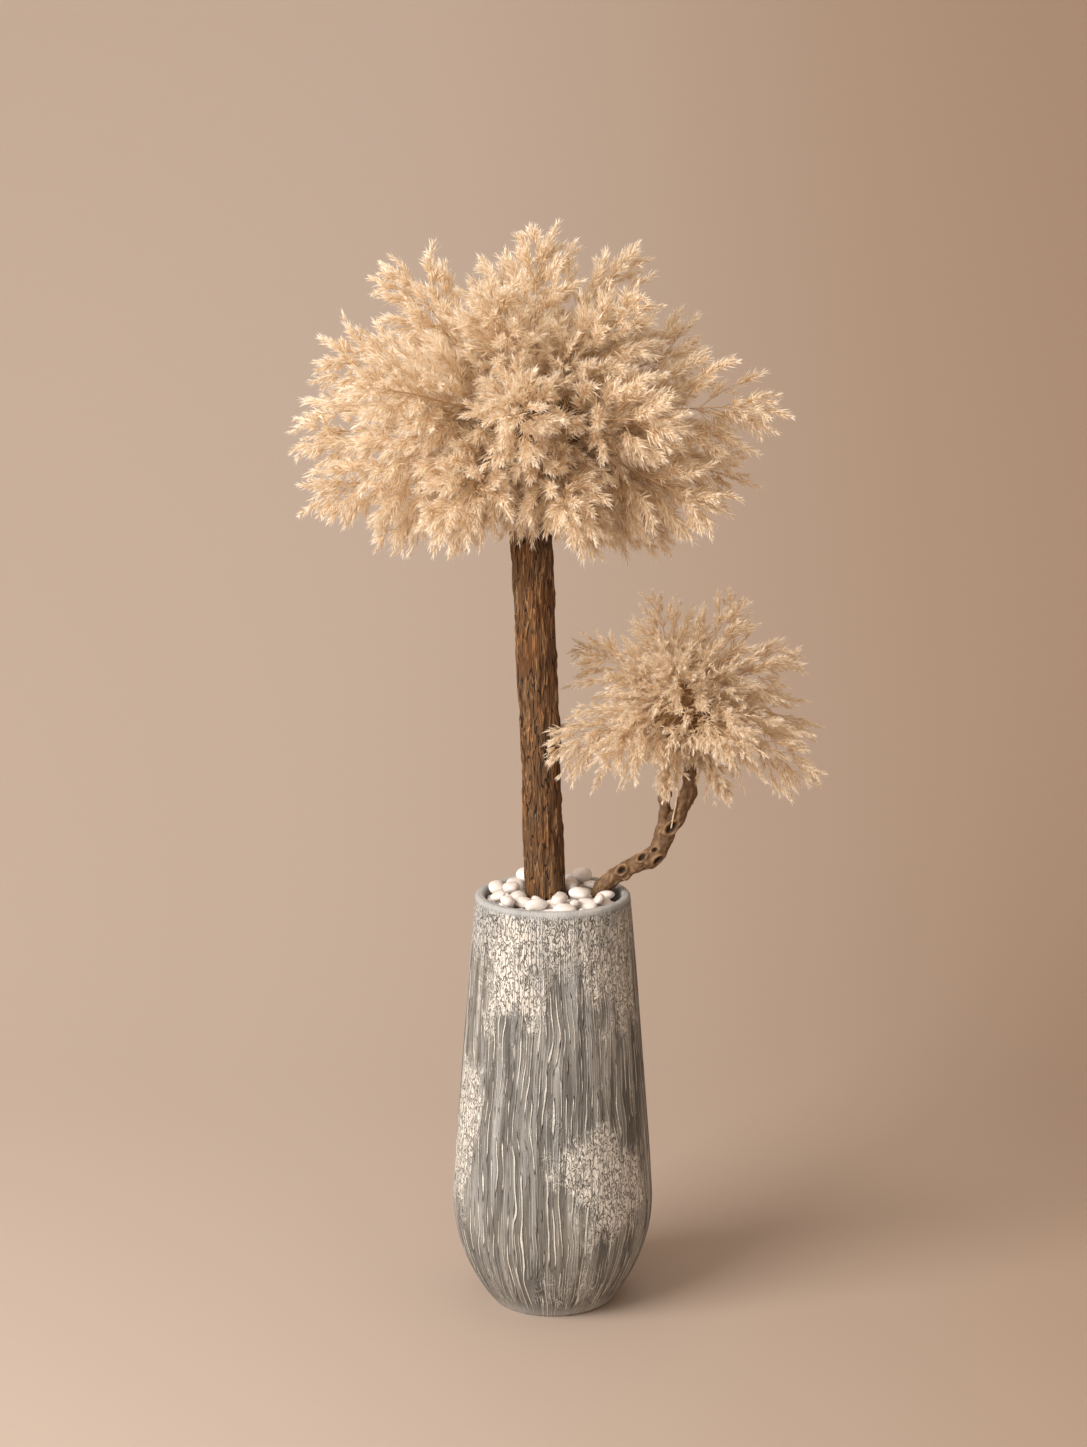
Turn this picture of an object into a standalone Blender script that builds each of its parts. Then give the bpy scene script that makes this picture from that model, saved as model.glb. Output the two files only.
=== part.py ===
"""Pampas grass tree: a tall carved planter filled with pebbles, a bark-covered trunk that carries a
large round head of dried pampas plumes, and a driftwood branch that carries a small one.
Metres, +Z up, origin at the centre of the planter's flat underside."""

import math

import bmesh
import bpy
from mathutils import Quaternion, Vector

GAP = 0.0003

PLANTER_HEIGHT = 0.610
RIM_RADIUS = 0.111
BELLY_RADIUS = 0.1455
BELLY_HEIGHT = 0.165
FOOT_RADIUS = 0.0865
WALL = 0.0125
FLOOR = 0.018
TURN_STEPS = 40
FILL_BELOW_RIM = 0.030
FILL_FOOT_CLEARANCE = 0.0005

TRUNK_FOOT_HEIGHT = 0.36
TRUNK_TOP_HEIGHT = 1.235
TRUNK_FOOT_RADIUS = 0.0275
TRUNK_TOP_RADIUS = 0.0290
TRUNK_SIDES = 16

CROWN_CENTRE = Vector((-0.034, 0.0, 1.272))
CROWN_BALL_RADIUS = 0.070
CROWN_DROOP = 0.42
SMALL_CENTRE = Vector((0.184, -0.002, 0.872))
SMALL_BALL_RADIUS = 0.042
SMALL_DROOP = 1.7
PLUG_DEPTH = 0.022
STEM_RADIUS = 0.0022
SMALL_STEM_RADIUS = 0.0014
PLUME_RADIUS = 0.046
SMALL_PLUME_RADIUS = 0.026
PLUME_RINGS = 8
CONE_SHARE = 0.90

# Each plume: azimuth from +X towards +Y in degrees, elevation in degrees, reach from the centre in metres.
CROWN_PLUMES = (
    (0, 87, 0.292),
    (178, 52, 0.325),
    (250, 54, 0.275),
    (322, 47, 0.300),
    (34, 56, 0.318),
    (106, 55, 0.300),
    (180, 24, 0.325),
    (222, 20, 0.320),
    (266, 16, 0.300),
    (309, 12, 0.320),
    (348, 12, 0.372),
    (26, 27, 0.305),
    (78, 21, 0.310),
    (130, 20, 0.320),
    (200, -11, 0.345),
    (243, -16, 0.310),
    (287, -20, 0.285),
    (331, -14, 0.335),
    (14, -10, 0.345),
    (58, -13, 0.325),
    (104, -13, 0.320),
    (160, 1, 0.365),
    (172, -32, 0.310),
    (222, -38, 0.250),
    (265, -50, 0.190),
    (308, -40, 0.245),
    (354, -35, 0.285),
    (36, -40, 0.285),
    (82, -44, 0.265),
    (128, -38, 0.285),
)
SMALL_PLUMES = (
    (160, 76, 0.182),
    (10, 68, 0.200),
    (8, 36, 0.205),
    (85, 38, 0.185),
    (165, 38, 0.200),
    (262, 44, 0.160),
    (230, -4, 0.180),
    (295, 4, 0.175),
    (342, -12, 0.215),
    (30, 2, 0.212),
    (110, -8, 0.190),
    (196, -2, 0.205),
    (254, -38, 0.160),
    (318, -50, 0.165),
)

# Pebbles on the fill: distance from the planter's axis, azimuth, half length, half width, half height, turn.
PEBBLES = (
    (0.072, 200, 0.021, 0.015, 0.011, 95),
    (0.075, 231, 0.019, 0.013, 0.011, 141),
    (0.071, 264, 0.022, 0.016, 0.012, 3),
    (0.075, 294, 0.019, 0.013, 0.010, 40),
    (0.074, 322, 0.018, 0.013, 0.010, 70),
    (0.077, 348, 0.011, 0.010, 0.010, 70),
    (0.073, 45, 0.020, 0.015, 0.011, 130),
    (0.072, 80, 0.021, 0.014, 0.011, 170),
    (0.073, 115, 0.020, 0.015, 0.012, 30),
    (0.074, 152, 0.021, 0.014, 0.010, 65),
)


def clear_scene():
    for obj in list(bpy.data.objects):
        bpy.data.objects.remove(obj, do_unlink=True)


def new_collection(name):
    found = bpy.data.collections.new(name)
    bpy.context.scene.collection.children.link(found)
    return found


def material(name, colour, roughness):
    made = bpy.data.materials.new(name)
    made.use_nodes = True
    shader = made.node_tree.nodes["Principled BSDF"]
    shader.inputs["Base Color"].default_value = (*colour, 1.0)
    shader.inputs["Roughness"].default_value = roughness
    shader.inputs["Metallic"].default_value = 0.0
    return made


def place(name, data, collection, finish=None):
    obj = bpy.data.objects.new(name, data)
    collection.objects.link(obj)
    if finish is not None and not data.materials:
        data.materials.append(finish)
    return obj


def hide_cutter(obj):
    obj.hide_render = True
    obj.display_type = "WIRE"


def between(low, high, share):
    return low + (high - low) * share


def outer_radius(height):
    """The planter's silhouette: a rounded foot up to the belly, then a long taper to the rim."""
    if height <= BELLY_HEIGHT:
        below = (BELLY_HEIGHT - height) / BELLY_HEIGHT
        return between(BELLY_RADIUS, FOOT_RADIUS, below**2.25)
    above = (height - BELLY_HEIGHT) / (PLANTER_HEIGHT - BELLY_HEIGHT)
    return between(BELLY_RADIUS, RIM_RADIUS, above**1.1)


def profile_heights():
    foot = [BELLY_HEIGHT * share for share in (0.0, 0.06, 0.16, 0.30, 0.48, 0.72, 1.0)]
    body = [between(BELLY_HEIGHT, PLANTER_HEIGHT, share) for share in (0.25, 0.5, 0.75, 1.0)]
    return foot + body


def inner_radius(height):
    return outer_radius(height) - WALL


def turned(name, profile, collection, finish):
    """A closed solid turned about Z from points of (radius, height) that end on the axis."""
    mesh = bpy.data.meshes.new(name)
    points = [(radius, 0.0, height) for radius, height in profile]
    edges = [(i, i + 1) for i in range(len(points) - 1)]
    mesh.from_pydata(points, edges, [])
    obj = place(name, mesh, collection, finish)
    screw = obj.modifiers.new("turn", "SCREW")
    screw.steps = TURN_STEPS
    screw.render_steps = TURN_STEPS
    screw.use_merge_vertices = True
    screw.merge_threshold = 0.00005
    screw.use_smooth_shade = True
    return obj


def make_planter(collection):
    heights = profile_heights()
    inside = [(0.0, FLOOR)]
    inside += [(inner_radius(z), max(z, FLOOR)) for z in heights if z > 0.02]
    inside[1] = (inner_radius(0.03), FLOOR)
    lip = [(RIM_RADIUS - 0.003, PLANTER_HEIGHT), (RIM_RADIUS, PLANTER_HEIGHT - 0.003)]
    outside = [(outer_radius(z), z) for z in reversed(heights[:-1])]
    profile = inside + lip + outside + [(0.0, 0.0)]
    return turned("planter", profile, collection, material("carved_fibre_clay", (0.27, 0.26, 0.24), 0.85))


def limb_mesh(name, path, radii, sides, extra=0.0):
    """A tube along a path with a radius at each point, as a closed mesh."""
    obj = bpy.data.objects.new(name, limb_curve(name, path, radii, sides, extra))
    bpy.context.scene.collection.objects.link(obj)
    bpy.context.view_layer.update()
    graph = bpy.context.evaluated_depsgraph_get()
    mesh = bpy.data.meshes.new_from_object(obj.evaluated_get(graph))
    mesh.name = name
    bpy.data.objects.remove(obj, do_unlink=True)
    shape = bmesh.new()
    shape.from_mesh(mesh)
    bmesh.ops.remove_doubles(shape, verts=shape.verts, dist=0.000001)
    bmesh.ops.recalc_face_normals(shape, faces=shape.faces)
    shape.to_mesh(mesh)
    shape.free()
    return mesh


def limb_curve(name, path, radii, sides, extra=0.0):
    curve = bpy.data.curves.new(name, "CURVE")
    curve.dimensions = "3D"
    curve.bevel_depth = 1.0
    curve.bevel_resolution = (sides - 4) // 2
    curve.use_fill_caps = True
    curve.twist_mode = "MINIMUM"
    spline = curve.splines.new("POLY")
    spline.points.add(len(path) - 1)
    for point, spot, radius in zip(spline.points, path, radii):
        point.co = (*spot, 1.0)
        point.radius = radius + extra
    spline.use_smooth = True
    return curve


def cut(obj, cutter, name):
    hide_cutter(cutter)
    boolean = obj.modifiers.new(name, "BOOLEAN")
    boolean.operation = "DIFFERENCE"
    boolean.solver = "EXACT"
    boolean.object = cutter


def trunk_path():
    """A slightly bowed pole that leans towards -X on its way up."""
    path = []
    radii = []
    count = 13
    for step in range(count):
        share = step / (count - 1)
        height = between(TRUNK_FOOT_HEIGHT, TRUNK_TOP_HEIGHT, share)
        rise = (height - PLANTER_HEIGHT) / (TRUNK_TOP_HEIGHT - PLANTER_HEIGHT)
        lean = -0.0105 - 0.026 * max(rise, 0.0) + 0.0035 * min(rise, 0.0) + 0.002 * math.sin(3.0 * rise)
        path.append(Vector((lean, 0.0, height)))
        radii.append(between(TRUNK_FOOT_RADIUS, TRUNK_TOP_RADIUS, share) + 0.0007 * math.sin(9.0 * share))
    return path, radii


BRANCH_PATH = (
    (0.056, 0.012, 0.480, 0.0100),
    (0.056, 0.012, 0.550, 0.0108),
    (0.059, 0.012, 0.590, 0.0115),
    (0.070, 0.011, 0.6120, 0.0120),
    (0.086, 0.009, 0.6265, 0.0115),
    (0.101, 0.006, 0.6390, 0.0125),
    (0.120, 0.003, 0.6520, 0.0125),
    (0.137, 0.000, 0.6600, 0.0140),
    (0.149, -0.001, 0.6705, 0.0135),
    (0.1555, -0.001, 0.6855, 0.0138),
    (0.162, -0.001, 0.7010, 0.0155),
)
RIGHT_PRONG = (
    (0.174, -0.001, 0.7160, 0.0122),
    (0.1825, -0.002, 0.7300, 0.0108),
    (0.190, -0.002, 0.7480, 0.0112),
    (0.194, -0.002, 0.7660, 0.0112),
    (0.193, -0.002, 0.8000, 0.0090),
    (0.189, -0.002, 0.8450, 0.0070),
)
LEFT_PRONG = (
    (0.155, -0.001, 0.6930, 0.0105),
    (0.1580, -0.001, 0.7100, 0.0088),
    (0.1590, 0.000, 0.7270, 0.0080),
    (0.161, 0.000, 0.7450, 0.0085),
    (0.164, 0.000, 0.7640, 0.0088),
    (0.170, 0.001, 0.8100, 0.0075),
    (0.174, 0.001, 0.8420, 0.0060),
)


def branch_mesh(name, extra=0.0):
    main = BRANCH_PATH + RIGHT_PRONG
    path = [Vector(row[:3]) for row in main]
    return limb_mesh(name, path, [row[3] for row in main], 10, extra)


def prong_mesh(name, extra=0.0):
    path = [Vector(row[:3]) for row in LEFT_PRONG]
    return limb_mesh(name, path, [row[3] for row in LEFT_PRONG], 10, extra)


def make_branch(collection, cutters):
    obj = place("driftwood_branch", branch_mesh("driftwood_branch"), collection)
    obj.data.materials.append(material("driftwood", (0.14, 0.075, 0.038), 0.8))
    obj.data.shade_smooth()
    prong = place("left_prong_shape", prong_mesh("left_prong_shape"), cutters)
    hide_cutter(prong)
    join = obj.modifiers.new("fork", "BOOLEAN")
    join.operation = "UNION"
    join.solver = "EXACT"
    join.object = prong
    return obj


def make_trunk(collection):
    path, radii = trunk_path()
    finish = material("bark", (0.16, 0.09, 0.045), 0.85)
    return place("trunk", limb_curve("trunk", path, radii, TRUNK_SIDES), collection, finish)


def make_fill(collection, cutters):
    """Packed potting fill, shaped by the planter's inside, with a socket for each limb."""
    top = PLANTER_HEIGHT - FILL_BELOW_RIM
    heights = [z for z in profile_heights() if 0.03 < z < top]
    floor = FLOOR + FILL_FOOT_CLEARANCE
    profile = [(0.0, top), (inner_radius(top) - 2 * GAP, top)]
    profile += [(inner_radius(z) - 2 * GAP, z) for z in reversed(heights)]
    profile += [(inner_radius(0.03) - 0.003, floor), (0.0, floor)]
    fill = turned("planting_fill", profile, collection, material("potting_fill", (0.09, 0.07, 0.055), 0.95))
    path, radii = trunk_path()
    socket = place("trunk_socket", limb_mesh("trunk_socket", path, radii, TRUNK_SIDES, 1.5 * GAP), cutters)
    socket.location.z = -GAP
    cut(fill, socket, "trunk_socket")
    branch_socket = place("branch_socket", branch_mesh("branch_socket", 1.5 * GAP), cutters)
    branch_socket.location.z = -GAP
    cut(fill, branch_socket, "branch_socket")
    return fill


def heading(azimuth, elevation):
    flat = math.cos(math.radians(elevation))
    return Vector(
        (
            flat * math.cos(math.radians(azimuth)),
            flat * math.sin(math.radians(azimuth)),
            math.sin(math.radians(elevation)),
        )
    )


def nearest_half_angle(index, headings):
    others = [headings[index].angle(other) for i, other in enumerate(headings) if i != index]
    return min(others) / 2


def plume_path(centre, ball, droop, row, headings, index, stem, widest):
    """Points and radii of one plume: a straight stem in the ball, then a spindle that droops outwards."""
    azimuth, elevation, reach = row
    way = heading(azimuth, elevation)
    flat = math.cos(math.radians(elevation))
    start = ball - PLUG_DEPTH
    cone = math.tan(nearest_half_angle(index, headings)) * CONE_SHARE
    path = [centre + way * start, centre + way * (ball + 0.002)]
    radii = [stem, stem]
    for step in range(1, PLUME_RINGS + 1):
        share = step / PLUME_RINGS
        along = between(ball, reach, share)
        sag = Vector((0.0, 0.0, -droop * flat * (along - ball) ** 2))
        path.append(centre + way * along + sag)
        full = widest * min(1.0, (share / 0.38) ** 0.7) * (1.0 - max(share - 0.35, 0.0) ** 1.7 * 2.0)
        radii.append(max(min(full, along * cone), stem * 0.8))
    return path, radii


def make_plumes(prefix, rows, centre, ball, droop, stem, widest, collection, finish):
    headings = [heading(row[0], row[1]) for row in rows]
    for index, row in enumerate(rows):
        path, radii = plume_path(centre, ball, droop, row, headings, index, stem, widest)
        name = f"{prefix}_{index + 1:02d}"
        place(name, limb_curve(name, path, radii, 8), collection, finish)


def socket_cutters(name, rows, centre, ball, stem, collection):
    """Every stem's socket in one ball, as cylinders in one mesh."""
    shape = bmesh.new()
    depth = PLUG_DEPTH + 0.010
    for row in rows:
        way = heading(row[0], row[1])
        middle = centre + way * (ball - PLUG_DEPTH - GAP + depth / 2)
        turn = Vector((0.0, 0.0, 1.0)).rotation_difference(way).to_matrix().to_4x4()
        turn.translation = middle
        radius = stem + 1.5 * GAP
        bmesh.ops.create_cone(
            shape, cap_ends=True, segments=8, radius1=radius, radius2=radius, depth=depth, matrix=turn
        )
    mesh = bpy.data.meshes.new(name)
    shape.to_mesh(mesh)
    shape.free()
    return place(name, mesh, collection)


def make_ball(name, centre, ball, rows, stem, limbs, collection, cutters, finish):
    """A foam ball with a socket for each stem and for each limb that carries it."""
    mesh = bpy.data.meshes.new(name)
    shape = bmesh.new()
    bmesh.ops.create_uvsphere(shape, u_segments=20, v_segments=12, radius=ball)
    shape.to_mesh(mesh)
    shape.free()
    mesh.shade_smooth()
    obj = place(name, mesh, collection, finish)
    obj.location = centre
    cut(obj, socket_cutters(name + "_sockets", rows, centre, ball, stem, cutters), "stem_sockets")
    for limb in limbs:
        cut(obj, limb, limb.name)
    return obj


def make_crowns(collection, cutters):
    plume_finish = material("dried_plume", (0.82, 0.62, 0.42), 0.9)
    foam = material("dry_foam", (0.20, 0.13, 0.07), 0.95)
    path, radii = trunk_path()
    trunk_end = place("trunk_end_socket", limb_mesh("trunk_end_socket", path, radii, TRUNK_SIDES, 1.5 * GAP), cutters)
    trunk_end.location.z = GAP
    make_ball(
        "crown_ball", CROWN_CENTRE, CROWN_BALL_RADIUS, CROWN_PLUMES, STEM_RADIUS,
        [trunk_end], collection, cutters, foam,
    )
    ends = [
        place("right_prong_socket", branch_mesh("right_prong_socket", 1.5 * GAP), cutters),
        place("left_prong_socket", prong_mesh("left_prong_socket", 1.5 * GAP), cutters),
    ]
    for end in ends:
        end.location.z = GAP
    make_ball(
        "small_crown_ball", SMALL_CENTRE, SMALL_BALL_RADIUS, SMALL_PLUMES, SMALL_STEM_RADIUS,
        ends, collection, cutters, foam,
    )
    make_plumes(
        "crown_plume", CROWN_PLUMES, CROWN_CENTRE, CROWN_BALL_RADIUS, CROWN_DROOP,
        STEM_RADIUS, PLUME_RADIUS, collection, plume_finish,
    )
    make_plumes(
        "small_plume", SMALL_PLUMES, SMALL_CENTRE, SMALL_BALL_RADIUS, SMALL_DROOP,
        SMALL_STEM_RADIUS, SMALL_PLUME_RADIUS, collection, plume_finish,
    )


def make_pebbles(collection):
    """Flattened pebbles that lie on the fill round the limbs, all from one unit ball."""
    finish = material("white_pebble", (0.80, 0.77, 0.73), 0.35)
    mesh = bpy.data.meshes.new("pebble")
    shape = bmesh.new()
    bmesh.ops.create_uvsphere(shape, u_segments=12, v_segments=8, radius=1.0)
    shape.to_mesh(mesh)
    shape.free()
    mesh.shade_smooth()
    floor = PLANTER_HEIGHT - FILL_BELOW_RIM + GAP
    for index, (distance, azimuth, length, width, height, turn) in enumerate(PEBBLES):
        obj = place(f"pebble_{index + 1:02d}", mesh, collection, finish)
        angle = math.radians(azimuth)
        obj.location = (distance * math.cos(angle), distance * math.sin(angle), floor + height)
        obj.scale = (length, width, height)
        obj.rotation_mode = "QUATERNION"
        obj.rotation_quaternion = Quaternion((0.0, 0.0, 1.0), math.radians(turn))


def main():
    clear_scene()
    parts = new_collection("pampas_grass_tree")
    cutters = new_collection("cutters")
    make_planter(parts)
    make_fill(parts, cutters)
    make_trunk(parts)
    make_branch(parts, cutters)
    make_crowns(parts, cutters)
    make_pebbles(parts)


main()
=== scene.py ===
"""Looks of the pampas grass tree: dried plumes, bark trunk, driftwood branch, carved planter, pebbles."""

import math

import bpy
import numpy as np
from mathutils import Matrix, Vector, noise


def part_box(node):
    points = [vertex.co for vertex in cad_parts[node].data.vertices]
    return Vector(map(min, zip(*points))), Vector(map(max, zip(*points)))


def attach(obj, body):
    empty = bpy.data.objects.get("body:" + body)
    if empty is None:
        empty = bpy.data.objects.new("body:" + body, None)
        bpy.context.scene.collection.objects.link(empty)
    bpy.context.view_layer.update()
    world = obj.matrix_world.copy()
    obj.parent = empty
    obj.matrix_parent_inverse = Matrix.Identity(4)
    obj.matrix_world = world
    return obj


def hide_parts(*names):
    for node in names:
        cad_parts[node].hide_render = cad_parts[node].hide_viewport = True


bl_info = {
    "name": "Pampas grass tree",
    "version": (1, 0, 0),
    "blender": (4, 5, 0),
    "location": "View3D > Sidebar > Pampas",
    "description": "Builds the finish of a pampas grass tree in its carved planter",
    "category": "Add Mesh",
}

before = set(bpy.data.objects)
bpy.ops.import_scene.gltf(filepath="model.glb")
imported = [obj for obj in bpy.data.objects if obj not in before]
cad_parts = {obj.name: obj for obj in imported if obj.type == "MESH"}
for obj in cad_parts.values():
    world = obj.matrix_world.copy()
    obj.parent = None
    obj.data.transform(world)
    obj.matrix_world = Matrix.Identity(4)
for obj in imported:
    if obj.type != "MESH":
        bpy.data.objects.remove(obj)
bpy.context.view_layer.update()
BODY = "root"
HAIR_MAP = "OFBake"
GOLDEN_TURN = 2.39996
BAND_RATIO = 1.8


# Colours


def linear(code, alpha=1.0):
    """An sRGB hex colour as linear RGBA."""
    out = []
    for start in (1, 3, 5):
        value = int(code[start : start + 2], 16) / 255
        out.append(value / 12.92 if value <= 0.04045 else ((value + 0.055) / 1.055) ** 2.4)
    return (*out, alpha)


# Node trees


def add(tree, kind, settings=None, **links):
    """Adds a shader node; settings go to its properties or sockets, links join sockets, with _ for a space."""
    node = tree.nodes.new("ShaderNode" + kind)
    for key, value in (settings or {}).items():
        if isinstance(key, int):
            node.inputs[key].default_value = value
        elif key in node.inputs and not hasattr(node, key):
            node.inputs[key].default_value = value
        else:
            setattr(node, key, value)
    for key, socket in links.items():
        place = int(key[1:]) if key[0] == "i" and key[1:].isdigit() else key.replace("_", " ")
        tree.links.new(socket, node.inputs[place])
    return node


def ramp(tree, value, *stops):
    """A colour ramp over a socket; each stop is a position with a hex colour or a grey level."""
    node = add(tree, "ValToRGB", Fac=value)
    points = node.color_ramp.elements
    while len(points) < len(stops):
        points.new(0.5)
    for point, (position, code) in zip(points, stops):
        point.position = position
        point.color = linear(code) if isinstance(code, str) else (code, code, code, 1.0)
    return node.outputs["Color"]


def attribute(tree, name, output="Fac"):
    return add(tree, "Attribute", {"attribute_name": name}).outputs[output]


def object_place(tree):
    return add(tree, "TexCoord").outputs["Object"]


def split(tree, vector):
    """The X, Y and Z sockets of a vector."""
    return add(tree, "SeparateXYZ", Vector=vector).outputs


def grain(tree, vector, scale, squash=1.0, detail=3.0, roughness=0.6, distortion=0.0):
    """Noise over a vector socket, drawn out along Z when squash is under one."""
    if squash != 1.0:
        stretch = {"Scale": (1.0, 1.0, squash)}
        vector = add(tree, "Mapping", stretch, Vector=vector).outputs["Vector"]
    settings = {"Scale": scale, "Detail": detail, "Roughness": roughness, "Distortion": distortion}
    return add(tree, "TexNoise", settings, Vector=vector).outputs["Fac"]


def ease(tree, value, start, end, low=0.0, high=1.0):
    """Goes smoothly from low to high while the value goes from start to end."""
    settings = {"interpolation_type": "SMOOTHSTEP", 1: start, 2: end, 3: low, 4: high}
    return add(tree, "MapRange", settings, i0=value).outputs[0]


def maths(tree, operation, first, second, third=0.0):
    """A maths node of sockets or plain numbers."""
    node = add(tree, "Math", {"operation": operation})
    for place, value in enumerate((first, second, third)):
        if isinstance(value, (int, float)):
            node.inputs[place].default_value = value
        else:
            tree.links.new(value, node.inputs[place])
    return node.outputs[0]


def weigh(tree, start, *shares):
    """A start value plus sockets, each times its share."""
    for value, share in shares:
        start = maths(tree, "MULTIPLY_ADD", value, share, start)
    return start


def lines(tree, value, width):
    """Thin rounded lines along the middle level of a noise: one on the line, nought away from it."""
    away = maths(tree, "ABSOLUTE", maths(tree, "SUBTRACT", value, 0.5), 0.0)
    return ease(tree, away, 0.0, width, 1.0, 0.0)


def blend(tree, share, first, second, kind="MIX"):
    """A colour mix of two sockets or plain colours."""
    node = add(tree, "Mix", {"data_type": "RGBA", "blend_type": kind})
    for place, value in ((0, share), (6, first), (7, second)):
        if isinstance(value, str):
            node.inputs[place].default_value = linear(value)
        elif isinstance(value, (int, float, tuple)):
            node.inputs[place].default_value = value
        else:
            tree.links.new(value, node.inputs[place])
    return node.outputs[2]


def new_material(name):
    made = bpy.data.materials.new(name)
    made.use_nodes = True
    made.node_tree.nodes.clear()
    return made, made.node_tree


def principled(tree, colour, roughness, gloss=0.5, **settings):
    settings = {"Roughness": roughness, "Specular IOR Level": gloss, **settings}
    return add(tree, "BsdfPrincipled", settings, Base_Color=colour)


def finish_material(made, shader, height=None, distance=0.0, strength=1.0):
    """Ends a material in a shader, with bump where a height is given."""
    tree = made.node_tree
    if height is not None:
        bump = add(tree, "Bump", {"Strength": strength, "Distance": distance}, Height=height)
        tree.links.new(bump.outputs["Normal"], shader.inputs["Normal"])
    add(tree, "OutputMaterial", Surface=shader.outputs[0])
    return made


# Materials


def plume_material():
    """Dried pampas hair, bleached by the sun: pale cream at the tips, honey tan at the root of each hair, soft
    and slightly see-through, with the darker wiry stalks they grow from. Painted shade: hairs deep inside a
    plume, near its stalks, take the darker end of the tone map."""
    made, tree = new_material("dried_pampas_hair")
    place = split(tree, add(tree, "UVMap", {"uv_map": HAIR_MAP}).outputs["UV"])
    along = ramp(tree, place["X"], (0.0, "#E2CBA6"), (0.35, "#F8E9D0"), (0.7, "#FFF7EA"), (1.0, "#FFFDF8"))
    # Tone map: hair-to-hair variation, with painted shade at its dark low end for hairs deep inside a plume
    tone = ramp(tree, place["Y"], (0.0, "#AF936E"), (0.14, "#CDB28C"), (0.42, "#F4EADB"), (0.75, "#FFFFFF"))
    hair = blend(tree, 1.0, along, tone, "MULTIPLY")
    shader = principled(tree, hair, 0.7, 0.25, **{"Sheen Weight": 0.3, "Sheen Roughness": 0.5})
    glow = add(tree, "BsdfTranslucent", Color=hair)
    mix = add(tree, "MixShader", {0: 0.38}, i1=shader.outputs[0], i2=glow.outputs[0])
    return finish_material(made, mix)


def combed_lines(tree, comb, count, wander, narrow):
    """Raised lines down the planter, evenly spaced round it, that wander a little and stop and start."""
    around = split(tree, comb)
    angle = maths(tree, "ARCTAN2", around["Y"], around["X"])
    drift = grain(tree, comb, 11.0, 0.45, 2.0, 0.6)
    shake = grain(tree, comb, 95.0, 0.22, 1.0)
    phase = weigh(tree, 0.0, (drift, wander), (shake, 3.2), (angle, float(count)))
    ridge = ease(tree, maths(tree, "COSINE", phase, 0.0), narrow, 0.90)
    here = ease(tree, grain(tree, comb, 70.0 + count * 0.25, 0.15, 1.0), 0.43, 0.53)
    return maths(tree, "MULTIPLY", ridge, here)


def planter_material():
    """Fibre clay, cast grey with combed ridges and whitewashed by hand: chalky lime on the ridges and in
    rubbed, wormy patches, grey body with painted shade down in the hollows and beside the broad ridges, dry and
    matt."""
    made, tree = new_material("whitewashed_fibre_clay")
    comb = attribute(tree, "comb", "Vector")
    relief, wash, carved = (attribute(tree, name) for name in ("relief", "wash", "carved"))
    lift = split(tree, object_place(tree))["Z"]
    broad = combed_lines(tree, comb, 92, 30.0, 0.38)
    fine = combed_lines(tree, comb, 203, 44.0, 0.20)
    worm = lines(tree, grain(tree, comb, 185.0, 0.55, 1.0, 0.5, 0.6), 0.070)
    speck = grain(tree, comb, 520.0, 0.8, 3.0, 0.65)
    streak = grain(tree, comb, 300.0, 0.07, 3.0, 0.6)
    # Height: ridges where the clay was combed, worm tracks in the rubbed patches and under the rim
    rub = weigh(tree, -0.75, (grain(tree, comb, 52.0, 0.5, 4.0, 0.65), 1.5))
    patchy = ease(tree, weigh(tree, wash, (rub, carved)), 0.12, 0.95)
    band = ease(tree, lift, 0.490, 0.570, 0.0, 0.75)
    combed = weigh(tree, 0.0, (broad, 0.90), (fine, 0.30))
    wormy = weigh(tree, 0.70, (combed, 0.35), (worm, -0.65))
    wormed = maths(tree, "MAXIMUM", patchy, band)
    height = add(tree, "Mix", {"data_type": "FLOAT"}, i0=wormed, i2=combed, i3=wormy).outputs[0]
    height = maths(tree, "MULTIPLY", height, carved)
    # Colour: streaked grey clay, and lime over it on what stands out and on the ridges of the foot
    cloud = grain(tree, comb, 13.0, 0.5, 3.0, 0.55)
    body = ramp(tree, cloud, (0.3, "#A8A9AA"), (0.5, "#BFBFBE"), (0.7, "#D5D3D0"))
    body = blend(tree, 0.28, body, ramp(tree, streak, (0.3, "#9C9994"), (0.7, "#FFFFFF")), "MULTIPLY")
    lime = ramp(tree, speck, (0.3, "#C9C3B8"), (0.65, "#F4F0E8"))
    foot = maths(tree, "MULTIPLY", ease(tree, lift, 0.190, 0.040), weigh(tree, -0.20, (combed, 1.5)))
    cover = weigh(tree, 0.0, (patchy, 0.34), (height, 0.50), (speck, 0.50), (streak, 0.10), (foot, 0.34))
    base = blend(tree, ramp(tree, cover, (0.42, 0.0), (0.86, 1.0)), body, lime)
    # Painted shade: darker down in the hollows, in the grooves of the foot and along the edges of the broad
    # ridges
    edge = maths(tree, "MULTIPLY", broad, maths(tree, "SUBTRACT", 1.0, broad))
    painted_shade_level = weigh(tree, 0.0, (relief, 0.40), (height, 0.80), (edge, -1.5), (foot, 0.50))
    painted_groove_shade = ramp(tree, painted_shade_level, (0.12, "#847D74"), (0.30, "#C4BFB8"), (0.46, "#FFFFFF"))
    # Multiplies the painted shade over the clay and lime
    base = blend(tree, maths(tree, "MULTIPLY", carved, 0.85), base, painted_groove_shade, "MULTIPLY")
    tooth = weigh(tree, height, (speck, 0.16), (streak, 0.06))
    return finish_material(made, principled(tree, base, 0.84, 0.35), tooth, 0.0076)


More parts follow.
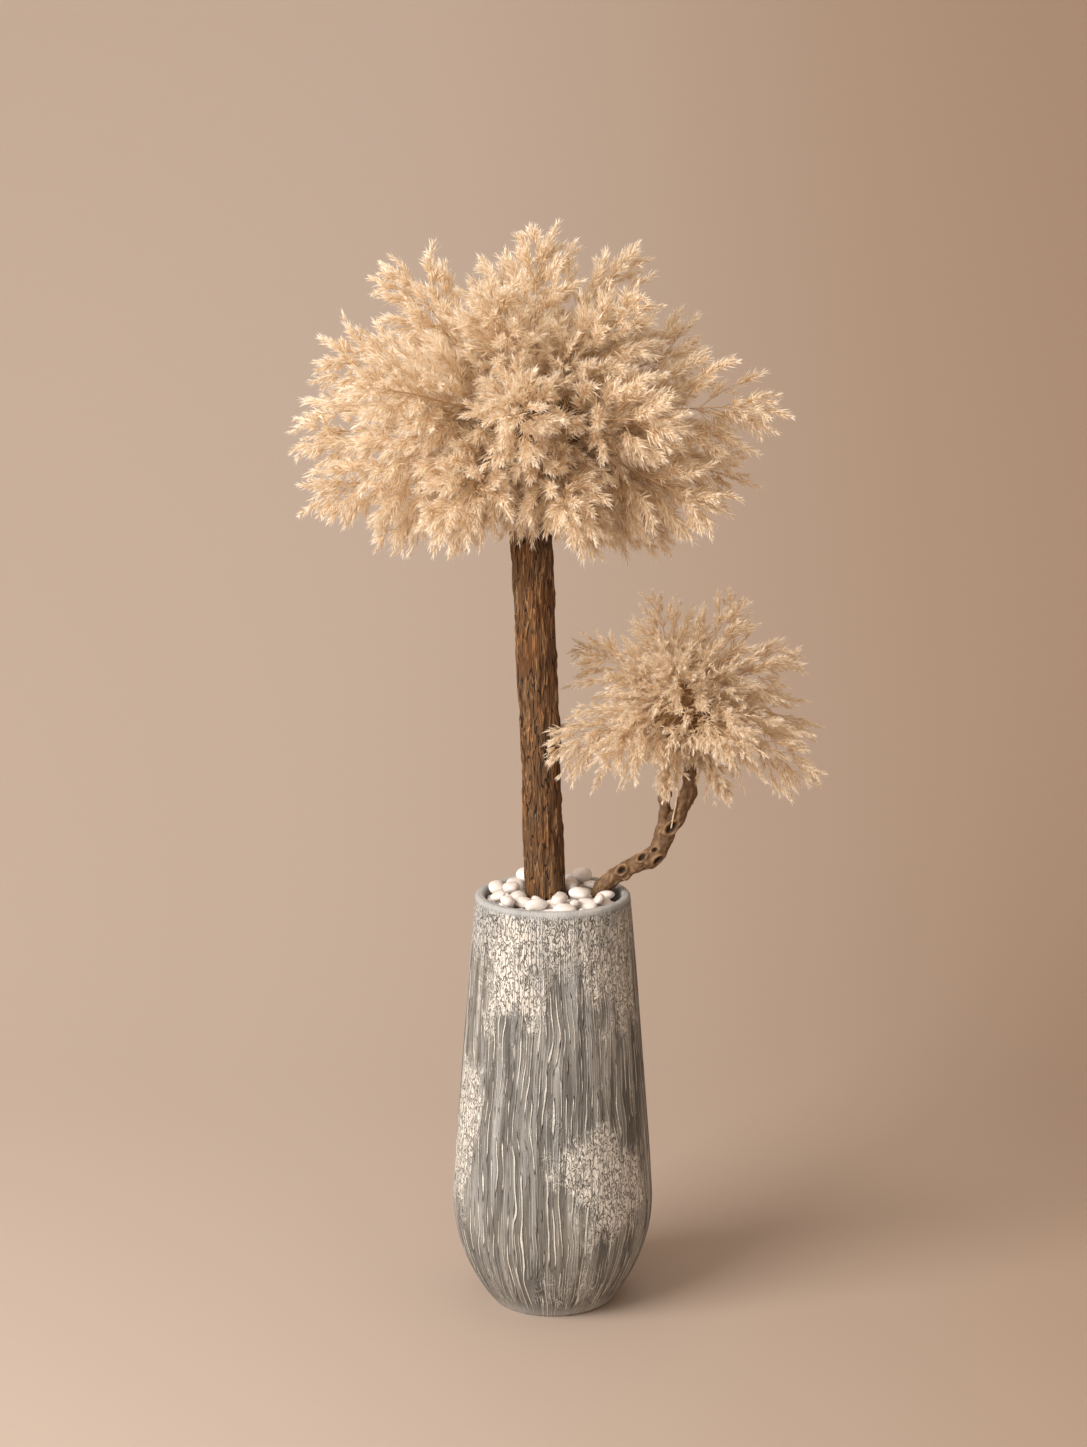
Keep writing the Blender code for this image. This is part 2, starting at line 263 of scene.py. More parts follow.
def bark_material():
    """Dry bark, rough and fibrous: honey brown on the worn ridges, dark brown down in the cracks."""
    made, tree = new_material("dry_ridged_bark")
    place = object_place(tree)
    relief = attribute(tree, "relief")
    strand = lines(tree, grain(tree, place, 135.0, 0.10, 0.5, 0.5, 0.55), 0.070)
    crack = lines(tree, grain(tree, place, 150.0, 0.12, 0.5, 0.5, 0.55), 0.034)
    thread = lines(tree, grain(tree, place, 240.0, 0.09, 1.0, 0.5, 0.4), 0.100)
    fibre = grain(tree, place, 520.0, 0.09, 4.0, 0.7)
    level = weigh(tree, 0.08, (relief, 0.16), (strand, 0.34), (thread, 0.20), (fibre, 0.34), (crack, -0.46))
    colour = ramp(tree, level, (0.04, "#24180F"), (0.22, "#5A4129"), (0.46, "#7E5F3F"), (0.84, "#B8966E"))
    tint = ramp(tree, grain(tree, place, 26.0, 0.6, 3.0), (0.35, "#E2E0DC"), (0.65, "#F0CFA8"))
    base = blend(tree, 0.9, colour, tint, "MULTIPLY")
    return finish_material(made, principled(tree, base, 0.72, 0.4), level, 0.0060)


def driftwood_material():
    """Driftwood worn smooth by water: grey-brown grain along the branch, and the knot holes painted near-black
    as the shade down in them.
    """
    made, tree = new_material("worn_driftwood")
    place = object_place(tree)
    twist = grain(tree, place, 95.0, 0.8, 4.0, 0.6, 1.6)
    fibre = grain(tree, place, 600.0, 0.5, 3.0, 0.6)
    level = weigh(tree, 0.0, (attribute(tree, "relief"), 0.72), (twist, 0.34), (fibre, 0.15))
    # The near-black low end is the painted shade in the knot holes
    colour = ramp(tree, level, (0.12, "#120B06"), (0.38, "#433020"), (0.64, "#6C5139"), (0.90, "#9C7D5C"))
    return finish_material(made, principled(tree, colour, 0.7, 0.4), level, 0.0028)


def straw_material():
    """The bare, pale stalk of a dried plume, smooth and faintly ribbed along its length."""
    made, tree = new_material("dried_straw_stalk")
    rib = grain(tree, object_place(tree), 900.0, 0.06, 2.0)
    return finish_material(made, principled(tree, ramp(tree, rib, (0.3, "#C9A983"), (0.7, "#EAD6B6")), 0.5))


def pebble_material():
    """Marble pebbles tumbled to a soft polish: warm white with faint grey clouds."""
    made, tree = new_material("tumbled_white_marble")
    place = object_place(tree)
    cloud = grain(tree, place, 28.0, 1.0, 4.0)
    colour = ramp(tree, cloud, (0.3, "#D6CCC5"), (0.5, "#EBE4DF"), (0.75, "#F5F1EE"))
    depth = {"Subsurface Weight": 0.12, "Subsurface Radius": (0.01, 0.008, 0.006), "Subsurface Scale": 0.2}
    fine = grain(tree, place, 700.0, 1.0, 2.0, 0.5)
    return finish_material(made, principled(tree, colour, 0.38, **depth), fine, 0.0004, 0.12)


def crumb_material(name, dark, light, scale):
    """Open-celled dry foam or packed crumb: dull, dark and rough."""
    made, tree = new_material(name)
    cell = grain(tree, object_place(tree), scale, 1.0, 4.0, 0.7)
    colour = ramp(tree, cell, (0.3, dark), (0.7, light))
    return finish_material(made, principled(tree, colour, 0.95, 0.2), cell, 0.002, 0.8)


# Meshes


def select_only(obj):
    bpy.ops.object.select_all(action="DESELECT")
    obj.select_set(True)
    bpy.context.view_layer.objects.active = obj


def link(name, data):
    """A new object in the scene."""
    obj = bpy.data.objects.new(name, data)
    bpy.context.scene.collection.objects.link(obj)
    return obj


def primitive(name, add_one, **settings):
    """A primitive mesh made by one of the mesh operators."""
    bpy.ops.object.select_all(action="DESELECT")
    add_one(**settings)
    obj = bpy.context.active_object
    obj.name = name
    obj.data.name = name
    return obj


def shade_smooth(obj):
    select_only(obj)
    bpy.ops.object.shade_smooth()
    return obj


def points_of(mesh, key="co"):
    """The place of each corner, or another vector it has."""
    flat = np.empty(len(mesh.vertices) * 3, np.float32)
    mesh.vertices.foreach_get(key, flat)
    return flat.reshape(-1, 3).astype(float)


def set_points(mesh, points):
    mesh.vertices.foreach_set("co", points.astype(np.float32).ravel())
    mesh.update()


def set_values(mesh, name, values):
    """Writes a number, or a vector, for each corner under a name that a material can read."""
    kind, key = ("FLOAT", "value") if values.ndim == 1 else ("FLOAT_VECTOR", "vector")
    layer = mesh.attributes.new(name, kind, "POINT")
    layer.data.foreach_set(key, values.astype(np.float32).ravel())


def finish_piece(obj, slot, material, *nodes):
    obj.data.materials.clear()
    obj.data.materials.append(material)
    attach(obj, BODY)
    if nodes:
        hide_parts(*nodes)


def field(rows, columns, tall, wide, rng, ratio=0.0):
    """Random field of unit spread, joined at its left and right edge, with blobs of the given size in cells.
    With a ratio it is the difference of two such fields, so its lines keep an even spacing."""
    extra = int(4 * tall * (ratio or 1.0)) + 2
    raw = rng.standard_normal((rows + 2 * extra, columns))
    up = np.fft.fftfreq(raw.shape[0])[:, None]
    across = np.fft.rfftfreq(columns)[None, :]
    size = 2 * (math.pi**2) * ((up * tall) ** 2 + (across * wide) ** 2)
    keep = np.exp(-size) - (np.exp(-size * ratio**2) if ratio else 0.0)
    made = np.fft.irfft2(np.fft.rfft2(raw) * keep, s=raw.shape)[extra : extra + rows]
    return (made - (0.0 if ratio else made.mean())) / made.std()


def grid(name, columns, rows):
    """A flat square, one metre wide, in columns and rows."""
    add_grid = bpy.ops.mesh.primitive_grid_add
    return primitive(name, add_grid, x_subdivisions=columns, y_subdivisions=rows, size=1.0)


def wrapped_grid(name, columns, rows):
    """A grid whose left and right edges will meet, with the column, row and turn of each corner."""
    obj = grid(name, columns, rows)
    share = points_of(obj.data) + 0.5
    column = np.rint(share[:, 0] * columns).astype(int) % columns
    row = np.rint(share[:, 1] * rows).astype(int)
    return obj, column, row, 2 * math.pi * column / columns


def turned(radius, angle, height, x=0.0, y=0.0):
    """Points round an upright axis."""
    return np.stack([x + radius * np.cos(angle), y + radius * np.sin(angle), height], 1)


def weld(obj, distance=0.00002):
    select_only(obj)
    bpy.ops.object.mode_set(mode="EDIT")
    bpy.ops.mesh.select_all(action="SELECT")
    bpy.ops.mesh.remove_doubles(threshold=distance)
    bpy.ops.mesh.normals_make_consistent(inside=False)
    bpy.ops.object.mode_set(mode="OBJECT")
    return shade_smooth(obj)


# Planter


FOOT_RADIUS, BELLY_RADIUS, RIM_RADIUS = 0.0865, 0.1455, 0.111
BELLY_HEIGHT = 0.165
WALL = 0.0125
FLOOR_TOP = 0.018
LIP_EDGE = 0.005
INNER_EDGE = 0.004
CARVING_DEPTH = 0.0013
COMB_RADIUS = 0.13
INNER_HEIGHTS = (0.59, 0.57, 0.54, 0.48, 0.38, 0.26, 0.17, 0.11, 0.07, 0.04, 0.022)
# Whitewash patches: degrees round, height, spread round in radians, spread in height, strength
WASH_SPOTS = (
    (-90, 0.570, 1.30, 0.035, 0.34),
    (-122, 0.530, 0.34, 0.070, 0.62),
    (-108, 0.470, 0.26, 0.075, 0.55),
    (-132, 0.410, 0.26, 0.080, 0.42),
    (-48, 0.520, 0.40, 0.075, 0.66),
    (-30, 0.440, 0.34, 0.100, 0.48),
    (-160, 0.265, 0.30, 0.095, 1.40),
    (-170, 0.170, 0.25, 0.050, 0.60),
    (-72, 0.240, 0.32, 0.060, 1.00),
    (-48, 0.190, 0.34, 0.070, 0.95),
    (-90, 0.030, 1.20, 0.045, 0.36),
    (20, 0.480, 0.40, 0.080, 0.70),
    (60, 0.250, 0.40, 0.080, 0.90),
    (110, 0.540, 0.50, 0.060, 0.80),
    (150, 0.380, 0.30, 0.070, 0.60),
    (95, 0.080, 0.50, 0.050, 0.70),
)


def planter_silhouette(height, total):
    """Outer radius of the planter at a height, as on the solid."""
    if height <= BELLY_HEIGHT:
        below = (BELLY_HEIGHT - height) / BELLY_HEIGHT
        return BELLY_RADIUS + (FOOT_RADIUS - BELLY_RADIUS) * below**2.25
    above = (height - BELLY_HEIGHT) / (total - BELLY_HEIGHT)
    return BELLY_RADIUS + (RIM_RADIUS - BELLY_RADIUS) * above**1.1


def rounded(radius, height, edge, first, last):
    """Points of a rounded edge about a centre, from one angle in degrees to another."""
    turns = [math.radians(angle) for angle in range(first, last, 18)]
    return [(radius + edge * math.cos(turn), height + edge * math.sin(turn), 0.0) for turn in turns]


def planter_profile():
    """Points of (radius, height, how deep the carving goes) from the foot's centre to the inner floor."""
    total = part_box("planter")[1].z
    low, high = 0.004, total - 0.009
    profile = [(0.0, 0.0, 0.0), (0.030, 0.0, 0.0), (0.060, 0.0, 0.0), (0.0815, 0.0002, 0.0)]
    for angle in (20, 50, 80):
        turn = math.radians(angle)
        profile.append((0.0830 + 0.004 * math.sin(turn), 0.0035 * (1 - math.cos(turn)), 0.15 * angle / 80))
    count = 196
    for step in range(1, count + 1):
        height = low + (high - low) * (step / count)
        depth = min(1.0, (height - low) / 0.02, (total - 0.006 - height) / 0.006)
        profile.append((planter_silhouette(height, total) - 0.0004, height, max(depth, 0.0)))
    rim = planter_silhouette(total, total)
    profile += rounded(rim - LIP_EDGE, total - LIP_EDGE, LIP_EDGE, 0, 91)
    profile += rounded(rim - WALL + INNER_EDGE, total - INNER_EDGE, INNER_EDGE, 90, 181)
    profile += [(planter_silhouette(height, total) - WALL, height, 0.0) for height in INNER_HEIGHTS]
    profile += [(0.06, FLOOR_TOP, 0.0), (0.0, FLOOR_TOP, 0.0)]
    return np.array(profile)


def soft_spot(angle, height, centre_angle, centre_height, wide, tall):
    """A round patch on the planter that fades out from its centre."""
    turn = np.angle(np.exp(1j * (angle - math.radians(centre_angle))))
    return np.exp(-((turn / wide) ** 2) - ((height - centre_height) / tall) ** 2)


def make_planter_piece(columns, seed):
    """The turned planter with its deepest ridges carved in, and the maps that its finish reads."""
    rng = np.random.default_rng(seed)
    profile = planter_profile()
    obj, column, row, angle = wrapped_grid("carved_planter", columns, len(profile) - 1)
    outer = profile[:, 2] > 0
    first = int(np.argmax(outer))
    count = int(outer.sum())
    wall = profile[first : first + count]

    tall, wide = 0.003, 0.0026
    combed = field(count, columns, 0.060 / tall, 0.0036 / wide, rng, BAND_RATIO)
    drift = field(count, columns, 0.026 / tall, 0.012 / wide, rng)
    patter = field(count, columns, 0.006 / tall, 0.005 / wide, rng)

    heights, angles = np.meshgrid(wall[:, 1], 2 * math.pi * np.arange(columns) / columns, indexing="ij")
    wash = sum(share * soft_spot(angles, heights, *spot) for *spot, share in WASH_SPOTS)
    wash = np.clip(wash * (1 + 0.25 * drift) + 0.07 * patter + 0.05 * drift, 0, 1.2)
    level = 1 / (1 + np.exp(-1.7 * combed * (1 - 0.7 * np.clip(wash, 0, 1))))

    inside = (row >= first) & (row < first + count)
    cell = (np.clip(row - first, 0, count - 1), column)
    carved = profile[row, 2]
    relief = level[cell] * carved
    radius = profile[row, 0] + np.where(inside, (relief - 0.75 * carved) * CARVING_DEPTH, 0.0)
    set_points(obj.data, turned(radius, angle, profile[row, 1]))
    set_values(obj.data, "relief", np.where(inside, relief + (1 - carved) * 0.55, 0.55))
    set_values(obj.data, "wash", np.where(inside, wash[cell] * 0.9, 0.06))
    set_values(obj.data, "carved", carved)
    run = np.concatenate([[0.0], np.cumsum(np.linalg.norm(np.diff(profile[:, :2], axis=0), axis=1))])
    set_values(obj.data, "comb", turned(COMB_RADIUS, angle, run[row]))
    return weld(obj)


# Trunk


TRUNK_RADIUS = 0.029
RIDGE_HEIGHT = 0.0048
RIDGE_LEVEL = 0.62
BULGE = 0.0005


def node_points(name):
    """The corners of a CAD node, each once."""
    return np.unique(np.round(points_of(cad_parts[name].data), 6), axis=0)


def trunk_line():
    """Centre and radius of the trunk at each ring of the solid."""
    corners = node_points("trunk")
    corners = corners[np.argsort(corners[:, 2])]
    breaks = np.where(np.diff(corners[:, 2]) > 0.02)[0] + 1
    rings = [ring for ring in np.split(corners, breaks) if len(ring) >= 8]
    middle = np.array([(ring.min(0) + ring.max(0)) / 2 for ring in rings])
    radii = [np.linalg.norm(ring[:, :2] - centre[:2], axis=1).max() for ring, centre in zip(rings, middle)]
    return middle, np.array(radii)


def make_trunk_piece(columns, rows, seed):
    """The trunk with its flowing bark ridges, closed at both ends."""
    rng = np.random.default_rng(seed)
    middle, radii = trunk_line()
    obj, column, row, angle = wrapped_grid("bark_trunk", columns, rows + 2)
    low, high = middle[0, 2], middle[-1, 2]
    height = low + (high - low) * np.clip((row - 1) / rows, 0, 1)

    count = rows + 1
    tall = (high - low) / rows
    wide = 2 * math.pi * TRUNK_RADIUS / columns
    strands = field(count, columns, 0.020 / tall, 0.0026 / wide, rng, BAND_RATIO)
    ropes = field(count, columns, 0.040 / tall, 0.0050 / wide, rng, BAND_RATIO)
    flakes = field(count, columns, 0.0045 / tall, 0.0016 / wide, rng, BAND_RATIO)
    bulge = field(count, columns, 0.060 / tall, 0.020 / wide, rng)
    sway = field(count, columns, 0.030 / tall, 0.012 / wide, rng)
    bend = (np.arange(columns)[None, :] + np.rint(sway * 0.0022 / wide).astype(int)) % columns
    level = np.arange(count)[:, None]
    ridges = 0.6 * strands[level, bend] + 0.5 * ropes[level, bend] + 0.22 * flakes
    relief = 0.72 / (1 + np.exp(-2.2 * ridges)) + 0.28 * np.clip(np.abs(ridges) * 0.9, 0, 1) ** 0.8

    cell = (np.clip(row - 1, 0, rows), column)
    centre_x, centre_y = (np.interp(height, middle[:, 2], middle[:, axis]) for axis in (0, 1))
    radius = np.interp(height, middle[:, 2], radii)
    radius = radius + (relief[cell] - RIDGE_LEVEL) * RIDGE_HEIGHT + bulge[cell] * BULGE
    closed = (row == 0) | (row == rows + 2)
    set_points(obj.data, turned(np.where(closed, 0.0, radius), angle, height, centre_x, centre_y))
    set_values(obj.data, "relief", relief[cell])
    return weld(obj)


# Driftwood branch


# Limbs: x, y, z and radius at each bend; knots: x, y, z and size
BRANCH_LINE = (
    (0.056, 0.012, 0.48, 0.0098), (0.056, 0.012, 0.55, 0.0104), (0.059, 0.012, 0.59, 0.0112),
    (0.07, 0.011, 0.612, 0.0118), (0.086, 0.009, 0.6265, 0.0112), (0.101, 0.006, 0.639, 0.0126),
    (0.111, 0.005, 0.646, 0.0112), (0.12, 0.003, 0.652, 0.0122), (0.137, 0.0, 0.66, 0.0145),
    (0.149, -0.001, 0.6705, 0.013), (0.1555, -0.001, 0.6855, 0.0138), (0.162, -0.001, 0.701, 0.0155),
    (0.174, -0.001, 0.716, 0.0122), (0.1825, -0.002, 0.73, 0.0106), (0.19, -0.002, 0.748, 0.0116),
    (0.194, -0.002, 0.766, 0.011), (0.193, -0.002, 0.8, 0.0088), (0.189, -0.002, 0.844, 0.0068),
)
PRONG_LINE = (
    (0.155, -0.001, 0.693, 0.0105), (0.158, -0.001, 0.71, 0.0086), (0.159, 0.0, 0.727, 0.008),
    (0.158, 0.0, 0.745, 0.0084), (0.16, 0.0, 0.764, 0.0084), (0.17, 0.001, 0.81, 0.0072),
    (0.174, 0.001, 0.841, 0.0058),
)
FORK_STEM = (
    (0.168, -0.0125, 0.708, 0.0013), (0.1705, -0.0135, 0.724, 0.0012), (0.175, -0.01, 0.746, 0.0011),
    (0.18, -0.006, 0.83, 0.001),
)
KNOTS = (
    (0.0985, -0.006, 0.644, 0.0046), (0.106, -0.0075, 0.63, 0.0036), (0.127, -0.009, 0.664, 0.0042),
    (0.15, -0.012, 0.661, 0.005), (0.145, -0.012, 0.676, 0.003), (0.169, -0.015, 0.709, 0.0066),
    (0.08, 0.019, 0.632, 0.006), (0.135, 0.014, 0.656, 0.0065), (0.159, 0.014, 0.69, 0.006),
)


def tube(name, line, sides=16):
    """A limb as a curve with a radius at each point, made a mesh."""
    curve = bpy.data.curves.new(name, "CURVE")
    curve.dimensions = "3D"
    curve.bevel_depth = 1.0
    curve.bevel_resolution = (sides - 4) // 2
    curve.resolution_u = 6
    curve.use_fill_caps = True
    spline = curve.splines.new("BEZIER")
    spline.bezier_points.add(len(line) - 1)
    for point, (x, y, z, radius) in zip(spline.bezier_points, line):
        point.co = (x, y, z)
        point.handle_left_type = "AUTO"
        point.handle_right_type = "AUTO"
        point.radius = radius
    select_only(link(name, curve))
    bpy.ops.object.convert(target="MESH")
    made = bpy.context.active_object
    made.name = name
    return made


def apply_modifier(obj, name, kind, **settings):
    modifier = obj.modifiers.new(name, kind)
    for key, value in settings.items():
        setattr(modifier, key, value)
    bpy.ops.object.modifier_apply(modifier=name)


def make_branch_piece():
    """The two limbs grown together, worn, grooved along their twist and hollowed at the knots."""
    main = tube("driftwood_fork", BRANCH_LINE)
    prong = tube("driftwood_prong", PRONG_LINE)
    select_only(main)
    prong.select_set(True)
    bpy.ops.object.join()
    apply_modifier(main, "grown_together", "REMESH", mode="VOXEL", voxel_size=0.0021)
    apply_modifier(main, "worn", "SMOOTH", iterations=4)
    points = points_of(main.data)
    swell = np.array([noise.noise(Vector(spot) * 55) for spot in points])
    offset = Vector((3.0, 5.0, 7.0))
    groove = np.array([noise.noise(Vector((x, y * 2.2, z * 0.9)) * 170 + offset) for x, y, z in points])
    relief = 0.58 + 0.30 * groove
    lift = 0.0040 * swell + 0.0014 * groove
    for x, y, z, size in KNOTS:
        gap = points - (x, y, z)
        run = gap[:, 0] * 0.77 + gap[:, 2] * 0.64
        cross = gap[:, 0] * 0.64 - gap[:, 2] * 0.77
        away = np.sqrt((run * 0.62) ** 2 + (cross * 1.15) ** 2 + (gap[:, 1] * 0.7) ** 2) / size
        lift += 0.0024 * np.exp(-(((away - 1.2) / 0.42) ** 2)) - 0.0052 * np.exp(-((away / 0.8) ** 4))
        # Painted shade: the knot hole's level drops so far that the finish paints it near-black; the raised lip
        # around it is lighter
        relief += 0.20 * np.exp(-(((away - 1.25) / 0.35) ** 2)) - 0.85 * np.exp(-((away / 0.85) ** 4))
    set_points(main.data, points + points_of(main.data, "normal") * lift[:, None])
    set_values(main.data, "relief", np.clip(relief, 0, 1))
    return weld(main, 0.00001)


# Pebbles


INSIDE_RIM = 0.0970
FILL_TOP = 0.580
OUT_OF_REACH = 9.0
SINK = 0.0012
TRIES = 180
TILT = 0.28
LENGTHS = ((0.014, 0.019), (0.009, 0.013), (0.006, 0.009))
# What stands in the heap, as circles: the trunk and the foot of the branch
STANDING = ((-0.0105, 0.0, 0.0290), (0.066, 0.011, 0.0150), (0.080, 0.010, 0.0130), (0.090, 0.008, 0.0130))


def pebble_shape(name, centre, axes, turn, seed, cuts=4):
    """One tumbled pebble: a ball pressed flat, a little uneven."""
    obj = primitive(name, bpy.ops.mesh.primitive_ico_sphere_add, subdivisions=cuts, radius=1.0)
    points = points_of(obj.data)
    rng = np.random.default_rng(seed)
    shift = Vector(rng.uniform(-50, 50, 3))
    swell = np.array([noise.noise(Vector(p) * 0.9 + shift) for p in points])
    flat = np.sign(points) * np.abs(points) ** np.array((0.95, 0.95, 0.9))
    flat *= (1 + 0.16 * swell)[:, None]
    flat /= np.abs(flat).max(0)
    points = (flat * axes) @ np.array(turn.to_3x3()).T + centre
    set_points(obj.data, points)
    return shade_smooth(obj)


def cad_pebbles():
    """Each solid pebble's name, centre, half sizes and turn about Z, read from its corners."""
    found = []
    for name in sorted(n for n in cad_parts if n.startswith("pebble_")):
        corners = node_points(name)
        low, high = corners.min(0), corners.max(0)
        centre = (low + high) / 2
        level = (corners[np.abs(corners[:, 2] - centre[2]) < 0.001] - centre)[:, :2]
        across, way = np.linalg.eigh(level.T @ level)[1].T
        axes = (np.abs(level @ way).max(), np.abs(level @ across).max(), (high - low)[2] / 2)
        found.append((name, centre, axes, math.atan2(way[1], way[0])))
    return found


def drop_pebbles(count, seed, solids):
    """Drops pebbles one at a time where they come to rest lowest, over a map of the surface so far."""
    rng = np.random.default_rng(seed)
    step = 0.001
    side = int(2 * INSIDE_RIM / step) + 3
    ticks = (np.arange(side) - side // 2) * step
    grid_x, grid_y = np.meshgrid(ticks, ticks, indexing="ij")
    surface = np.full((side, side), FILL_TOP)
    surface[np.hypot(grid_x, grid_y) > INSIDE_RIM] = OUT_OF_REACH
    for x, y, radius in STANDING:
        surface[np.hypot(grid_x - x, grid_y - y) < radius] = OUT_OF_REACH
    theta = np.linspace(0, 2 * math.pi, 20, endpoint=False)
    turn, rise = np.meshgrid(theta, np.linspace(-math.pi / 2, math.pi / 2, 11))
    ball = np.stack([np.cos(rise) * np.cos(turn), np.cos(rise) * np.sin(turn), np.sin(rise)], -1).reshape(-1, 3)

    def cells(places):
        return np.rint(places / step).astype(int) + side // 2

    def raise_surface(cloud):
        ix, iy = (np.clip(cells(cloud[:, axis]), 0, side - 1) for axis in (0, 1))
        for dx in (-1, 0, 1):
            for dy in (-1, 0, 1):
                near = (np.clip(ix + dx, 0, side - 1), np.clip(iy + dy, 0, side - 1))
                np.maximum.at(surface, near, cloud[:, 2])

    for centre, axes, spin in solids:
        raise_surface((ball * axes) @ np.array(Matrix.Rotation(spin, 3, "Z")).T + centre)
    placed = []
    for index in range(count):
        length = rng.uniform(*LENGTHS[index % 3])
        axes = np.array((length, length * rng.uniform(0.62, 0.82), length * rng.uniform(0.42, 0.6)))
        best = None
        for _ in range(TRIES):
            radius = INSIDE_RIM * math.sqrt(rng.uniform(0.02, 0.98))
            around = rng.uniform(0, 2 * math.pi)
            x, y = radius * math.cos(around), radius * math.sin(around)
            spin = Matrix.Rotation(rng.uniform(0, 2 * math.pi), 3, "Z")
            roll = Matrix.Rotation(rng.normal(0, TILT), 3, "X")
            tilt = roll @ Matrix.Rotation(rng.normal(0, TILT), 3, "Y") @ spin
            cloud = (ball * axes) @ np.array(tilt).T
            ix, iy = cells(cloud[:, 0] + x), cells(cloud[:, 1] + y)
            if min(ix.min(), iy.min()) < 0 or max(ix.max(), iy.max()) >= side:
                continue
            rest = (surface[ix, iy] - cloud[:, 2]).max()
            if rest < 1.0 and (best is None or rest < best[0]):
                best = (rest, x, y, tilt, cloud)
        if best:
            rest, x, y, tilt, cloud = best
            centre = (x, y, rest - SINK)
            placed.append((centre, tuple(axes), tilt))
            raise_surface(cloud + centre)
    return placed


# Plumes


def plume_tip(name, centre):
    """The far end of a solid plume: the mean of its last ring's corners."""
    corners = node_points(name)
    away = np.linalg.norm(corners - centre, axis=1)
    return corners[np.argsort(away)[-8:]].mean(0)


def solve_heading(tip, centre, ball, droop):
    """Undoes the droop: the straight heading and reach whose drooped end is this tip."""
    gap = tip - centre
    azimuth = math.atan2(gap[1], gap[0])
    level = math.hypot(gap[0], gap[1])
    rise = gap[2]
    reach = math.hypot(level, rise)
    for _ in range(30):
        flat = level / reach
        lifted = rise + droop * flat * (reach - ball) ** 2
        reach = math.hypot(level, lifted)
    elevation = math.atan2(lifted, level)
    flat = math.cos(elevation)
    way = np.array((flat * math.cos(azimuth), flat * math.sin(azimuth), math.sin(elevation)))
    return way, reach, flat


def frames_along(line):
    """Unit ways along a line of points and two ways across it."""
    ahead = np.gradient(line, axis=0)
    ahead /= np.linalg.norm(ahead, axis=1)[:, None]
    guide = np.array((0.0, 0.0, 1.0)) if abs(ahead[0, 2]) < 0.9 else np.array((1.0, 0.0, 0.0))
    side = np.cross(ahead, guide)
    side /= np.linalg.norm(side, axis=1)[:, None]
    return ahead, side, np.cross(side, ahead)


def unit(rows):
    return rows / np.maximum(np.linalg.norm(rows, axis=-1, keepdims=True), 1e-9)


def at(line, share):
    """Points on a line at shares from 0 to 1."""
    spot = np.clip(share, 0, 1) * (len(line) - 1)
    first = np.minimum(spot.astype(int), len(line) - 2)
    rest = (spot - first)[..., None]
    return line[first] * (1 - rest) + line[first + 1] * rest


def frame_at(share, *rows):
    """What each of several rows along one line says at a share."""
    return (at(values, np.array([share]))[0] for values in rows)


class Tuft:
    """Gathers the corners, faces and map places of one plume."""

    def __init__(self):
        self.points = []
        self.faces = []
        self.places = []
        self.count = 0

    def gather(self, points, faces, places):
        """Takes up one part; its faces count from its own first corner."""
        self.points.append(points.reshape(-1, 3))
        self.faces.append(faces.reshape(-1, 3) + self.count)
        self.places.append(places.reshape(-1, 2))
        self.count += len(self.points[-1])

    def blades(self, root, way, out, length, width, tone, bend):
        """Flat pointed hairs, two triangles each with a bend in the middle."""
        many = len(root)
        across = unit(np.cross(way, out))
        middle = root + way * (length * 0.45)[:, None]
        tip = root + way * length[:, None] + bend
        half = across * (width / 2)[:, None]
        place = np.empty((many, 6, 2))
        place[..., 0] = (0.02, 0.45, 0.45, 0.45, 0.45, 0.98)
        place[..., 1] = tone[:, None] + np.array((0.0, 0.006, -0.006, -0.006, 0.006, 0.0))
        faces = 4 * np.arange(many)[:, None] + np.array((0, 1, 2, 2, 1, 3))
        self.gather(np.stack([root, middle + half, middle - half, tip], 1), faces, place)

    def stalk(self, line, thick, thin, tone, sides=3):
        """A thin stalk along a line of points."""
        ahead, side, up = frames_along(line)
        many = len(line)
        angles = 2 * math.pi * np.arange(sides) / sides
        ring = side[:, None] * np.cos(angles)[None, :, None] + up[:, None] * np.sin(angles)[None, :, None]
        rows = line[:, None] + ring * np.linspace(thick, thin, many)[:, None, None]
        step = np.arange(many - 1)[:, None]
        spoke = np.arange(sides)
        a, b = step * sides + spoke, step * sides + (spoke + 1) % sides
        faces = np.stack([a, b, b + sides, a, b + sides, a + sides], -1)
        place = np.empty((many - 1, sides, 6, 2))
        place[..., 0] = np.linspace(0, 0.35, many)[step[:, None] + np.array((0, 0, 1, 0, 1, 1))]
        place[..., 1] = tone + 0.01 * np.array((0, 1, 1, 0, 1, 0))
        self.gather(rows, faces, place)

    def to_object(self, name):
        points = np.concatenate(self.points)
        faces = np.concatenate(self.faces)
        places = np.concatenate(self.places)
        mesh = bpy.data.meshes.new(name)
        mesh.vertices.add(len(points))
        mesh.vertices.foreach_set("co", points.astype(np.float32).ravel())
        mesh.loops.add(len(faces) * 3)
        mesh.loops.foreach_set("vertex_index", faces.astype(np.int32).ravel())
        mesh.polygons.add(len(faces))
        mesh.polygons.foreach_set("loop_start", np.arange(len(faces), dtype=np.int32) * 3)
        mesh.polygons.foreach_set("loop_total", np.full(len(faces), 3, np.int32))
        mesh.update()
        layer = mesh.uv_layers.new(name=HAIR_MAP)
        layer.data.foreach_set("uv", np.clip(places, 0, 1).astype(np.float32).ravel())
        mesh.validate()
        return link(name, mesh)


